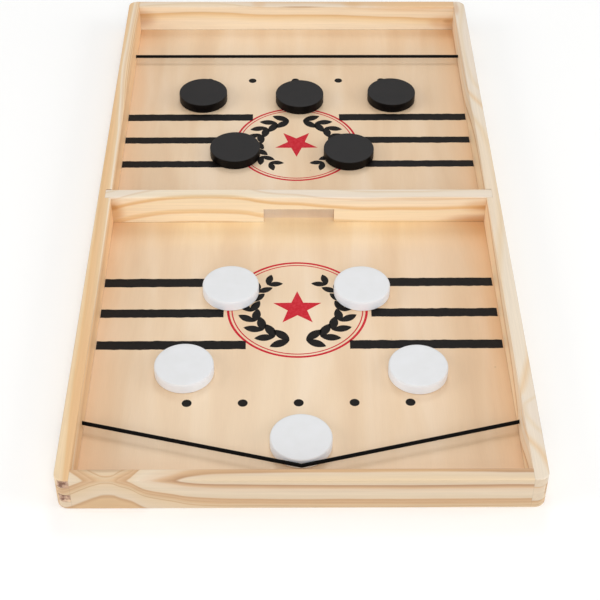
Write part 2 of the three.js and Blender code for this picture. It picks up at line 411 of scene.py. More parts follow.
    # Its rings mottle it in patches of about 3 mm
    rings = add(
        tree, "TexNoise", {"Vector": here, "Scale": 1 / (3 * MM), "Detail": 4.0, "Roughness": 0.65}
    )
    end_colour = add(
        tree,
        "ValToRGB",
        {0: rings},
        stops=[(0.42, linear(end_tones[0])), (0.62, linear(end_tones[1]))],
    )
    surface = add(tree, "Mix", {0: end_mask, 6: toned, 7: end_colour}, data_type="RGBA")
    stained_and_shaded = surface.outputs[2]
    # The marks are stains, and some are painted shade in corners; each is laid on by its share
    for middle, halves, tone, share in stains_and_shade:
        off = add(
            tree, "VectorMath", {0: here, 1: [part * MM for part in middle]}, operation="SUBTRACT"
        )
        scaled = add(
            tree, "VectorMath", {0: off, 1: [half * MM for half in halves]}, operation="DIVIDE"
        )
        away = add(tree, "VectorMath", {0: scaled}, operation="LENGTH")
        mask = add(
            tree,
            "MapRange",
            {
                "Value": away.outputs["Value"],
                "From Min": 0.25,
                "From Max": 1.0,
                "To Min": share,
                "To Max": 0.0,
            },
            interpolation_type="SMOOTHSTEP",
        )
        stained_and_shaded = add(
            tree, "Mix", {0: mask, 6: stained_and_shaded, 7: linear(tone)}, data_type="RGBA"
        ).outputs[2]
    shaded = joint_lines(tree, split, stained_and_shaded)
    tree.links.new(shaded, shader.inputs["Base Color"])
    shader.inputs["Roughness"].default_value = 0.55
    shader.inputs["IOR"].default_value = 1.46
    bump = add(tree, "Bump", {"Height": fibres, "Distance": 0.05 * MM, "Strength": 0.4})
    tree.links.new(bump.outputs[0], shader.inputs["Normal"])
    return material


# How far a glue line reaches from its joint's plane, upright and level, and how much it darkens
UPRIGHT_LINE = 0.2 * MM
LEVEL_LINE = 0.13 * MM
GLUE_SHADE = 0.12


def joint_lines(tree, split, colour):
    """Darkens the glue lines of the box joints: near the upright planes where the side rails
    meet the end rails, and near the level planes between the pins in the corners."""
    far_x = add(tree, "Math", {0: split.outputs[0]}, operation="ABSOLUTE")
    far_y = add(tree, "Math", {0: split.outputs[1]}, operation="ABSOLUTE")
    beside = add(
        tree, "Math", {0: far_x, 1: inner_half_width, 2: UPRIGHT_LINE}, operation="COMPARE"
    )
    at_end = add(
        tree, "Math", {0: far_y, 1: inner_half_length - UPRIGHT_LINE}, operation="GREATER_THAN"
    )
    upright = add(tree, "Math", {0: beside, 1: at_end}, operation="MULTIPLY")
    step = add(tree, "Math", {0: split.outputs[2], 1: pin_height}, operation="DIVIDE")
    nearest = add(tree, "Math", {0: step}, operation="ROUND")
    nearest = add(tree, "Math", {0: nearest, 1: 1.0}, operation="MAXIMUM")
    nearest = add(tree, "Math", {0: nearest, 1: CORNER_PINS - 1.0}, operation="MINIMUM")
    level = add(
        tree, "Math", {0: step, 1: nearest, 2: LEVEL_LINE / pin_height}, operation="COMPARE"
    )
    in_corner = add(tree, "Math", {0: far_x, 1: inner_half_width}, operation="GREATER_THAN")
    in_corner = add(tree, "Math", {0: in_corner, 1: at_end}, operation="MULTIPLY")
    level = add(tree, "Math", {0: level, 1: in_corner}, operation="MULTIPLY")
    line = add(tree, "Math", {0: upright, 1: level}, operation="MAXIMUM")
    keep = add(tree, "Math", {0: line, 1: -GLUE_SHADE, 2: 1.0}, operation="MULTIPLY_ADD")
    return add(tree, "VectorMath", {0: colour, "Scale": keep}, operation="SCALE").outputs[0]


SEAM_WIDTH = 0.6 * MM
SEAM_SHADE = 0.3
# The share of that shade along the side rails
SIDE_SEAM_SHARE = 0.4
GATE_HALF_WIDTH = 26.5 * MM
# How far the painted shade reaches in from the side rails, the back rail, the front rail and the
# front of the bar; before the middle of the bar the same reach carries painted light instead
SIDE_SHADE_REACH = 26 * MM
WIDE_SIDE_REACH = 60 * MM
BACK_SHADE_REACH = 45 * MM
FRONT_SHADE_REACH = 60 * MM
BAR_REACH = 36 * MM
# Between which places along X the right half deepens and the left half's paleness ends
RIGHT_FROM, RIGHT_TO = 20 * MM, 128 * MM
LEFT_FROM, LEFT_TO = 0.0, 40 * MM
# Between which places along Y the front grows paler, and between which distances from the front
# rail a painted warm light, as bounced off the rail, grows stronger
PALE_FROM = -60 * MM
PALE_TO = 20 * MM - inner_half_length
WARM_FROM, WARM_TO = 46 * MM, 8 * MM


def birch_plywood():
    """Birch plywood, sanded and sealed: a smooth pinkish tan face with soft broad bands along Y,
    faint pores, and a few brown flecks. It deepens to orange over its right half, and painted
    shade deepens it to orange beside the side rails and in the corners. Its left half is paler
    towards the front, painted warm light lies on a strip before the front rail, and painted light
    makes the middle before the bar brighter and yellower. Its seams with the bar, the back rail
    and the side rails are dark lines."""
    material, tree, shader, place = new_material("birch_plywood")
    here = place.outputs["Object"]
    # Bands are about 30 mm across and 220 mm long; pores are 0.7 mm across and 14 mm long
    broad = add(tree, "Mapping", {"Vector": here, "Scale": (1 / (30 * MM), 1 / (220 * MM), 1)})
    bands = add(
        tree,
        "TexNoise",
        {"Vector": broad, "Scale": 1.0, "Detail": 3.0, "Roughness": 0.5, "Distortion": 0.5},
    )
    fine = add(tree, "Mapping", {"Vector": here, "Scale": (1 / (0.7 * MM), 1 / (14 * MM), 1)})
    pores = add(tree, "TexNoise", {"Vector": fine, "Scale": 1.0, "Detail": 2.0, "Roughness": 0.6})
    tone = add(
        tree,
        "ValToRGB",
        {0: bands},
        stops=[(0.32, linear("#e4c4a0")), (0.5, linear("#ebcfad")), (0.66, linear("#f0d8bb"))],
    )
    split = add(tree, "SeparateXYZ", {0: here})
    aside = add(tree, "Math", {0: split.outputs[0]}, operation="ABSOLUTE")
    # Painted shade: how near the side rails, the back, the front and the bar a point lies
    near_side = add(
        tree,
        "MapRange",
        {"Value": aside, "From Min": inner_half_width - SIDE_SHADE_REACH, "From Max": inner_half_width},
        interpolation_type="SMOOTHSTEP",
    )
    near_back = add(
        tree,
        "MapRange",
        {
            "Value": split.outputs[1],
            "From Min": inner_half_length - BACK_SHADE_REACH,
            "From Max": inner_half_length,
            "To Max": 0.45,
        },
        interpolation_type="SMOOTHSTEP",
    )
    near_front = add(
        tree,
        "MapRange",
        {
            "Value": split.outputs[1],
            "From Min": -inner_half_length,
            "From Max": FRONT_SHADE_REACH - inner_half_length,
            "To Min": 0.35,
            "To Max": 0.0,
        },
    )
    wide_side = add(
        tree,
        "MapRange",
        {
            "Value": aside,
            "From Min": inner_half_width - WIDE_SIDE_REACH,
            "From Max": inner_half_width,
        },
    )
    near_bar = add(
        tree,
        "MapRange",
        {
            "Value": split.outputs[1],
            "From Min": bar_front - BAR_REACH,
            "From Max": bar_front,
            "To Max": 0.48,
        },
    )
    before_bar = add(tree, "Math", {0: split.outputs[1], 1: 0.0}, operation="LESS_THAN")
    near_bar = add(tree, "Math", {0: near_bar, 1: before_bar}, operation="MULTIPLY")
    ends = add(tree, "Math", {0: near_front, 1: near_back})
    ends = add(tree, "Math", {0: ends, 1: near_bar})
    corner = add(tree, "Math", {0: ends, 1: wide_side}, operation="MULTIPLY")
    depth = add(tree, "Math", {0: near_side, 1: 0.3, 2: corner}, operation="MULTIPLY_ADD")
    rightward = add(
        tree,
        "MapRange",
        {"Value": split.outputs[0], "From Min": RIGHT_FROM, "From Max": RIGHT_TO, "To Max": 0.38},
    )
    # The right half's share of the deeper tone, from the tray's front to its back
    along_share = add(
        tree,
        "MapRange",
        {"Value": split.outputs[1], "From Min": -half_length, "From Max": half_length},
    )
    court_share = add(
        tree,
        "FloatCurve",
        {"Value": along_share},
        curve=[(0.0, 0.55), (0.15, 0.55), (0.4, 1.0), (0.48, 1.0), (0.53, 0.35), (1.0, 0.5)],
    )
    depth = add(tree, "Math", {0: rightward, 1: court_share, 2: depth}, operation="MULTIPLY_ADD")
    # The deeper tone lays on the painted shade beside the walls and in the corners, and the right
    # half's own deeper tone
    tone = add(tree, "Mix", {0: depth, 6: tone, 7: linear("#dcae7e")}, data_type="RGBA")
    front_share = add(
        tree,
        "MapRange",
        {
            "Value": split.outputs[1],
            "From Min": PALE_FROM,
            "From Max": PALE_TO,
            "To Max": 0.42,
        },
    )
    inside = add(tree, "MapRange", {"Value": wide_side, "To Min": 1.0, "To Max": -0.6})
    inside = add(tree, "Math", {0: inside, 1: 0.0}, operation="MAXIMUM")
    paler = add(tree, "Math", {0: front_share, 1: inside}, operation="MULTIPLY")
    leftward = add(
        tree,
        "MapRange",
        {
            "Value": split.outputs[0],
            "From Min": LEFT_FROM,
            "From Max": LEFT_TO,
            "To Min": 1.0,
            "To Max": 0.1,
        },
    )
    paler = add(tree, "Math", {0: paler, 1: leftward}, operation="MULTIPLY")
    tone = add(tree, "Mix", {0: paler, 6: tone.outputs[2], 7: linear("#f6e2c6")}, data_type="RGBA")
    # Painted warm light, as bounced off the front rail, on a strip before it
    painted_warm_light = add(
        tree,
        "MapRange",
        {
            "Value": split.outputs[1],
            "From Min": WARM_FROM - inner_half_length,
            "From Max": WARM_TO - inner_half_length,
            "To Max": 0.8,
        },
    )
    tone = add(tree, "Mix", {0: painted_warm_light, 6: tone.outputs[2], 7: linear("#f9d8b4")}, data_type="RGBA")
    shade = add(
        tree,
        "MapRange",
        {"Value": pores, "From Min": 0.3, "From Max": 0.7, "To Min": 0.985, "To Max": 1.015},
    )
    toned = add(tree, "VectorMath", {0: tone.outputs[2], "Scale": shade}, operation="SCALE")
    # Flecks are about 26 mm apart and 1 mm across
    flecks = add(tree, "TexVoronoi", {"Vector": here, "Scale": 1 / (26 * MM), "Randomness": 1.0})
    clear = add(
        tree,
        "MapRange",
        {"Value": flecks, "From Min": 0.014, "From Max": 0.03, "To Min": 0.76, "To Max": 1.0},
    )
    flecked = add(tree, "VectorMath", {0: toned, "Scale": clear}, operation="SCALE")
    at_bar = add(
        tree, "Math", {0: split.outputs[1], 1: bar_front, 2: SEAM_WIDTH}, operation="COMPARE"
    )
    off_gate = add(tree, "Math", {0: aside, 1: GATE_HALF_WIDTH}, operation="GREATER_THAN")
    seam = add(tree, "Math", {0: at_bar, 1: off_gate}, operation="MULTIPLY")
    at_back = add(
        tree,
        "Math",
        {0: split.outputs[1], 1: inner_half_length - SEAM_WIDTH},
        operation="GREATER_THAN",
    )
    seam = add(tree, "Math", {0: seam, 1: at_back}, operation="MAXIMUM")
    at_side = add(
        tree, "Math", {0: aside, 1: inner_half_width - SEAM_WIDTH}, operation="GREATER_THAN"
    )
    at_side = add(tree, "Math", {0: at_side, 1: SIDE_SEAM_SHARE}, operation="MULTIPLY")
    seam = add(tree, "Math", {0: seam, 1: at_side}, operation="MAXIMUM")
    # Painted light: before the middle of the bar the board is made brighter and yellower
    off_sides = add(tree, "Math", {0: 1.0, 1: wide_side}, operation="SUBTRACT")
    middle_painted_light = add(tree, "Math", {0: off_sides, 1: near_bar}, operation="MULTIPLY")
    bright = add(tree, "Math", {0: middle_painted_light, 1: 0.22, 2: 1.0}, operation="MULTIPLY_ADD")
    keep = add(tree, "Math", {0: seam, 1: -SEAM_SHADE, 2: bright}, operation="MULTIPLY_ADD")
    lined = add(tree, "VectorMath", {0: flecked, "Scale": keep}, operation="SCALE")
    painted_light_yellowed = add(
        tree,
        "Mix",
        {0: middle_painted_light, 6: lined, 7: linear("#fffedd")},
        data_type="RGBA",
        blend_type="MULTIPLY",
    )
    tree.links.new(painted_light_yellowed.outputs[2], shader.inputs["Base Color"])
    shader.inputs["Roughness"].default_value = 0.5
    shader.inputs["IOR"].default_value = 1.46
    bump = add(tree, "Bump", {"Height": pores, "Distance": 0.02 * MM, "Strength": 0.3})
    tree.links.new(bump.outputs[0], shader.inputs["Normal"])
    return material


YARNS = 12


def woven_elastic():
    """Round elastic in a woven polyester sleeve: black yarns of 0.7 mm crossing on the slant, with
    a dull shine on each. The UVs run once round the cord, so a whole number of yarns closes. A
    yarn's height is the size of the sine of its turns, and the weave is the two slants' product."""
    material, tree, shader, place = new_material("woven_elastic")
    uv = add(tree, "SeparateXYZ", {0: place.outputs["UV"]})
    heights = []
    for lean in (1.0, -1.0):
        slant = add(
            tree, "Math", {0: uv.outputs[1], 1: lean, 2: uv.outputs[0]}, operation="MULTIPLY_ADD"
        )
        turns = add(tree, "Math", {0: slant, 1: YARNS * math.pi}, operation="MULTIPLY")
        wave = add(tree, "Math", {0: turns}, operation="SINE")
        heights.append(add(tree, "Math", {0: wave}, operation="ABSOLUTE"))
    weave = add(tree, "Math", {0: heights[0], 1: heights[1]}, operation="MULTIPLY")
    tone = add(
        tree, "ValToRGB", {0: weave}, stops=[(0.0, linear("#020202")), (1.0, linear("#0a0808"))]
    )
    tree.links.new(tone.outputs[0], shader.inputs["Base Color"])
    shader.inputs["Roughness"].default_value = 0.75
    shader.inputs["Specular IOR Level"].default_value = 0.12
    bump = add(tree, "Bump", {"Height": weave, "Distance": 0.12 * MM, "Strength": 0.6})
    tree.links.new(bump.outputs[0], shader.inputs["Normal"])
    return material


ROUGHNESS_SPREAD = 0.04


def lacquer(name, tone, worn_tone, painted_side_tone, roughness, gloss_level):
    """Satin lacquer, sprayed on a turned disc: even, with a very fine orange peel of 0.6 mm, and a
    slightly paler and duller bloom in patches of about 12 mm. The turned side has a tone of its
    own, which paints light: the top and the side are lit and shaded copies of one coat."""
    material, tree, shader, place = new_material(name)
    here = place.outputs["Object"]
    patches = add(tree, "TexNoise", {"Vector": here, "Scale": 1 / (12 * MM), "Detail": 2.0})
    tint = add(
        tree, "ValToRGB", {0: patches}, stops=[(0.35, linear(tone)), (0.7, linear(worn_tone))]
    )
    facing = add(tree, "SeparateXYZ", {0: place.outputs["Normal"]})
    flat = add(tree, "Math", {0: facing.outputs[2]}, operation="ABSOLUTE")
    side = add(
        tree,
        "MapRange",
        {"Value": flat, "From Min": 0.2, "From Max": 0.6, "To Min": 1.0, "To Max": 0.0},
    )
    # Painted light: the side gets a tone of its own in place of the top's, as light falls on it
    coat = add(tree, "Mix", {0: side, 6: tint, 7: linear(painted_side_tone)}, data_type="RGBA")
    tree.links.new(coat.outputs[2], shader.inputs["Base Color"])
    shader.inputs["Specular IOR Level"].default_value = gloss_level
    peel = add(tree, "TexNoise", {"Vector": here, "Scale": 1 / (0.6 * MM), "Detail": 2.0})
    gloss = add(
        tree,
        "MapRange",
        {
            "Value": patches,
            "From Min": 0.3,
            "From Max": 0.7,
            "To Min": roughness - ROUGHNESS_SPREAD,
            "To Max": roughness + ROUGHNESS_SPREAD,
        },
    )
    tree.links.new(gloss.outputs[0], shader.inputs["Roughness"])
    bump = add(tree, "Bump", {"Height": peel, "Distance": 0.02 * MM, "Strength": 0.35})
    tree.links.new(bump.outputs[0], shader.inputs["Normal"])
    return material


def screen_ink(name, tone, thin_tone):
    """Screen-printed ink, dead flat, a little thinner in patches of about 2 mm."""
    material, tree, shader, place = new_material(name)
    here = place.outputs["Object"]
    patches = add(tree, "TexNoise", {"Vector": here, "Scale": 1 / (2 * MM), "Detail": 4.0})
    tint = add(
        tree, "ValToRGB", {0: patches}, stops=[(0.4, linear(tone)), (0.75, linear(thin_tone))]
    )
    tree.links.new(tint.outputs[0], shader.inputs["Base Color"])
    shader.inputs["Roughness"].default_value = 0.62
    shader.inputs["Specular IOR Level"].default_value = 0.2
    return material


# Pucks

WHITE_PUCK_EASING = 1.1 * MM
BLACK_PUCK_EASING = 0.55 * MM
PUCK_FOOT_EASING = 0.8 * MM
PUCK_DISH = 0.05 * MM
PUCK_SIDES = 96
PUCK_RINGS = 7
# Two rings of a profile nearer than this are one
SAME_RING = 0.001 * MM


def puck_disc(node, material, easing):
    """A turned disc: a profile of foot, quarter-round edge, straight side, quarter-round edge and
    top, carried round the upright axis. The top lies lower than its rim by the dish times one
    less the square of the share of its radius."""
    low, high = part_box(node)
    radius = (high.x - low.x) / 2
    centre = ((low.x + high.x) / 2, (low.y + high.y) / 2)
    quarter = np.linspace(0, math.pi / 2, PUCK_RINGS)
    foot = PUCK_FOOT_EASING
    inner = np.linspace(POLE_SHARE, 1, PUCK_RINGS)
    reach = np.concatenate([
        inner * (radius - foot),
        radius - foot + foot * np.sin(quarter),
        radius - easing + easing * np.cos(quarter),
        inner[::-1] * (radius - easing),
    ])
    rise = np.concatenate([
        np.full(PUCK_RINGS, low.z),
        low.z + foot * (1 - np.cos(quarter)),
        high.z - easing * (1 - np.sin(quarter)),
        high.z - PUCK_DISH * (1 - inner[::-1] ** 2),
    ])
    steps = np.abs(np.diff(reach)) + np.abs(np.diff(rise))
    keep = np.concatenate([[True], steps > SAME_RING])
    reach, rise = reach[keep], rise[keep]
    angle = np.linspace(0, 2 * math.pi, PUCK_SIDES, endpoint=False)
    points = np.stack([
        centre[0] + reach[:, None] * np.cos(angle),
        centre[1] + reach[:, None] * np.sin(angle),
        np.repeat(rise[:, None], PUCK_SIDES, axis=1),
    ], axis=-1)
    faces = ring_faces(len(reach), PUCK_SIDES).tolist()
    faces.append(list(range(PUCK_SIDES))[::-1])
    faces.append(list(range((len(reach) - 1) * PUCK_SIDES, len(reach) * PUCK_SIDES)))
    piece = mesh_piece(f"{node}_disc", points, faces, node, material)
    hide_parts(node)


# The print on the board

# It is thin plates of ink with real outlines. A court's print is laid out for the near court and
# turned half round for the far one, about the print's own centre, and the whole print sits a
# little askew, as a screen that is set by eye does.
INK_THICKNESS = 0.05 * MM
PRINT_TURN = math.radians(0.2)
LINE_PLACES = (71.2 * MM, 103.5 * MM, 135.65 * MM)
DOT_PLACE = 190.5 * MM
DOT_SPACING = 36.83 * MM
DOT_DIAMETER = 6.55 * MM
RING_PLACE = 98.7 * MM
RING_RADIUS = 49.8 * MM
RING_WIDTH = 1.7 * MM
INNER_RING_GAP = 3.2 * MM
RING_MARGIN = 2.4 * MM
WREATH_RADIUS = 33 * MM
# Degrees from the circle's near side to the first pair of leaves, and from pair to pair
WREATH_START, WREATH_STEP = 10, 18.5
# The first pair's length, its width as a share of that, and how much of it each pair loses
LEAF_LENGTH = 15 * MM
LEAF_WIDTH_SHARE = 0.46
LEAF_LOSS = 0.035
# How far a leaf leans from its branch, in radians
LEAF_LEAN = 0.6
STAR_RADIUS = 18 * MM
STAR_HOLLOW = 7.2 * MM
# The edges of a printed bar waver at each step by a mean of so many draws of this spread
EDGE_STEP = 0.8 * MM
EDGE_DRAWS = 5
EDGE_WAVER = 0.26 * MM
COURTS = {
    "near": {
        "turned": False,
        "centre": (-1.98 * MM, -3.2 * MM),
        "line_widths": (8.9 * MM, 8.45 * MM, 8.35 * MM),
        "line_ends": (-140.4 * MM, 138.9 * MM),
    },
    "far": {
        "turned": True,
        "centre": (-0.95 * MM, -3.2 * MM),
        "line_widths": (8.4 * MM, 8.35 * MM, 9.2 * MM),
        "line_ends": (-140.0 * MM, 140.1 * MM),
    },
}


def plates(name, outlines, court, material):
    """One mesh of thin plates from flat outlines that turn to the left, each turned and moved to
    its place on the board, with a wall between its foot and its top, both one face."""
    askew = PRINT_TURN + (math.pi if court["turned"] else 0)
    cos, sin = math.cos(askew), math.sin(askew)
    points, faces = [], []
    for outline in outlines:
        flat = outline @ np.array([[cos, sin], [-sin, cos]]) + court["centre"]
        count = len(flat)
        for level in (board_top, board_top + INK_THICKNESS):
            points.append(np.column_stack([flat, np.full(count, level)]))
        first = sum(len(p) for p in points) - 2 * count
        faces += ring_faces(2, count, first).tolist()
        faces.append(list(range(first, first + count))[::-1])
        faces.append(list(range(first + count, first + 2 * count)))
    mesh_piece(name, np.concatenate(points), faces, "tray", material, smooth=False)


def worn_bar(start, end, middle, width, rng):
    """A printed bar along X from start to end. Its two long edges waver by about 0.1 mm and at
    most 0.4 mm, as ink does over grain: by the running mean of random draws."""
    steps = int((end - start) / EDGE_STEP)
    along = np.linspace(start, end, steps)
    edges = []
    for side in (-1, 1):
        draws = rng.normal(0, 1, steps + EDGE_DRAWS - 1)
        rough = np.convolve(draws, np.ones(EDGE_DRAWS) / EDGE_DRAWS, "valid") * EDGE_WAVER
        edges.append(np.column_stack([along, middle + side * width / 2 + rough]))
    return np.concatenate([edges[0], edges[1][::-1]])


def round_spot(x, y, radius, sides=40):
    """A printed dot: its middle plus its radius times the cosine and the sine of the angle."""
    angle = np.linspace(0, 2 * math.pi, sides, endpoint=False)
    return np.column_stack([x + radius * np.cos(angle), y + radius * np.sin(angle)])


def ring_plates(x, y, outer, width, pieces=36):
    """A printed ring as short plates side by side, each a slice of 10 degrees between the outer
    circle and the one that lies inside it by the ring's width."""
    made = []
    step = 2 * math.pi / pieces
    for i in range(pieces):
        angle = np.linspace(i * step, (i + 1) * step, 5)
        rim = np.column_stack([x + outer * np.cos(angle), y + outer * np.sin(angle)])
        bore = outer - width
        core = np.column_stack([x + bore * np.cos(angle), y + bore * np.sin(angle)])
        made.append(np.concatenate([rim, core[::-1]]))
    return made


def star(x, y, outer, inner, points=5):
    """A star whose points and hollows lie on two circles in turn, one point straight away."""
    angle = math.pi / 2 + np.arange(2 * points) * math.pi / points
    reach = np.where(np.arange(2 * points) % 2 == 0, outer, inner)
    return np.column_stack([x + reach * np.cos(angle), y + reach * np.sin(angle)])


def leaf(x, y, heading, length, width):
    """A pointed leaf from its stalk at x, y: half its width is width / 2 times sin of pi times
    the share of its length, to the power 0.8."""
    share = np.linspace(0, 1, 12)
    half = width / 2 * np.sin(math.pi * share) ** 0.8
    outline = np.concatenate([
        np.column_stack([share * length, -half]),
        np.column_stack([share[-2:0:-1] * length, half[-2:0:-1]]),
    ])
    cos, sin = math.cos(heading), math.sin(heading)
    return outline @ np.array([[cos, sin], [-sin, cos]]) + (x, y)


def wreath(x, y, radius, pairs=8):
    """Two branches of leaves that rise from the near side of a circle and end short of its far
    side: a pair of leaves at each step, one leaning out and one in, smaller towards the tips."""
    made = []
    for side in (-1, 1):
        for i in range(pairs):
            length = LEAF_LENGTH * (1 - LEAF_LOSS * i)
            angle = -math.pi / 2 + side * math.radians(WREATH_START + WREATH_STEP * i)
            forward = angle + side * math.pi / 2
            stalk = (x + radius * math.cos(angle), y + radius * math.sin(angle))
            for lean in (-1, 1):
                heading = forward + side * lean * LEAF_LEAN
                made.append(leaf(*stalk, heading, length, length * LEAF_WIDTH_SHARE))
    return made


def court_print(name, black, red, rng):
    """One court's print: six lines that stop short of the emblem, five dots, and the emblem, a
    star in a wreath in a ring of two lines."""
    court = COURTS[name]
    sign = -1 if court["turned"] else 1
    left, right = sorted(sign * (end - court["centre"][0]) for end in court["line_ends"])
    bars = []
    for place, width in zip(LINE_PLACES, court["line_widths"]):
        clear = math.sqrt(RING_RADIUS ** 2 - (place - RING_PLACE) ** 2) + RING_MARGIN
        bars.append(worn_bar(left, -clear, -place, width, rng))
        bars.append(worn_bar(clear, right, -place, width, rng))
    plates(f"{name}_court_lines", bars, court, black)
    dots = [round_spot(i * DOT_SPACING, -DOT_PLACE, DOT_DIAMETER / 2) for i in range(-2, 3)]
    plates(f"{name}_court_dots", dots, court, black)
    rings = ring_plates(0, -RING_PLACE, RING_RADIUS, RING_WIDTH)
    rings += ring_plates(0, -RING_PLACE, RING_RADIUS - INNER_RING_GAP, RING_WIDTH / 2)
    plates(f"{name}_court_ring", rings, court, red)
    plates(f"{name}_court_wreath", wreath(0, -RING_PLACE, WREATH_RADIUS), court, black)
    plates(f"{name}_court_star", [star(0, -RING_PLACE, STAR_RADIUS, STAR_HOLLOW)], court, red)


# The pieces

elastic = woven_elastic()
for end_name in ("front", "back"):
    for side_name in ("left", "right"):
        sling_arm(end_name, side_name, elastic)
        stopper_knot(end_name, side_name, elastic)

# The white side is paler and bluer than the top by painted light
white = lacquer(
    "white_satin_lacquer",
    tone="#e1e2e3",
    worn_tone="#e5e6e8",
    painted_side_tone="#e8edf5",
    roughness=0.45,
    gloss_level=0.4,
)
# The black top is lighter than its side by a painted sheen
black = lacquer(
    "black_satin_lacquer",
    tone="#2a2929",
    worn_tone="#2e2c2c",
    painted_side_tone="#080505",
    roughness=0.45,
    gloss_level=0.12,
)
for i in range(1, 6):
    puck_disc(f"white_puck_{i}", white, WHITE_PUCK_EASING)
    puck_disc(f"black_puck_{i}", black, BLACK_PUCK_EASING)

black_ink = screen_ink("black_screen_ink", "#100d0b", "#1b1613")
red_ink = screen_ink("red_screen_ink", "#c61c2c", "#d23540")
court_print("near", black_ink, red_ink, np.random.default_rng(11))
court_print("far", black_ink, red_ink, np.random.default_rng(12))

